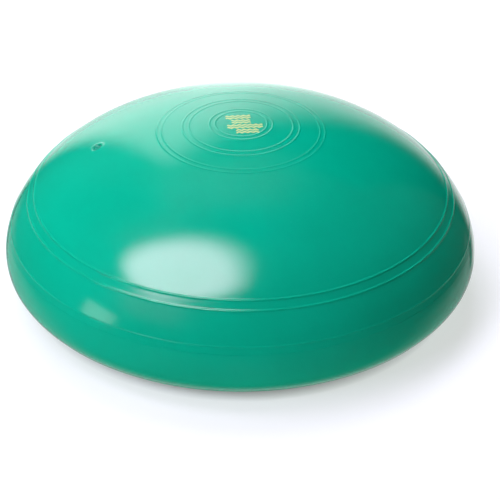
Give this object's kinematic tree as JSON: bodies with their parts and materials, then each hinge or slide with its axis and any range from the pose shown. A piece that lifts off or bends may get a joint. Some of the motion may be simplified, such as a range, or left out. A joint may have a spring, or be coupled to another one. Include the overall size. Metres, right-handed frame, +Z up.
{
  "type": "balance dome trainer",
  "caption": "Low air-filled dome with rounded lower flank, flat floor ring and needle valve; stood, sat or knelt on for balance and physiotherapy exercise.",
  "frame": {"origin": "centre of the standing ring, on the floor", "axes": "+Z up through the crown, -X towards the valve"},
  "size_m": [0.5196, 0.5196, 0.193],
  "materials": {
    "skin": "gloss",
    "floor_disc": "satin",
    "valve_housing": "satin",
    "valve_rubber": "matte",
    "valve_plug": "satin",
    "print_gold": "satin"
  },
  "bodies": {
    "body": {"dome_skin": "skin", "side_skin": "skin", "floor_disc": "floor_disc", "valve_housing": "valve_housing", "valve_core": "valve_rubber"},
    "plug": {"valve_plug": "valve_plug"}
  },
  "joints": [
    {"name": "plug_pull", "type": "slide", "parent": "body", "child": "plug", "axis": [-0.4118, 0, 0.9113], "range_m": [0, 0.016]}
  ]
}
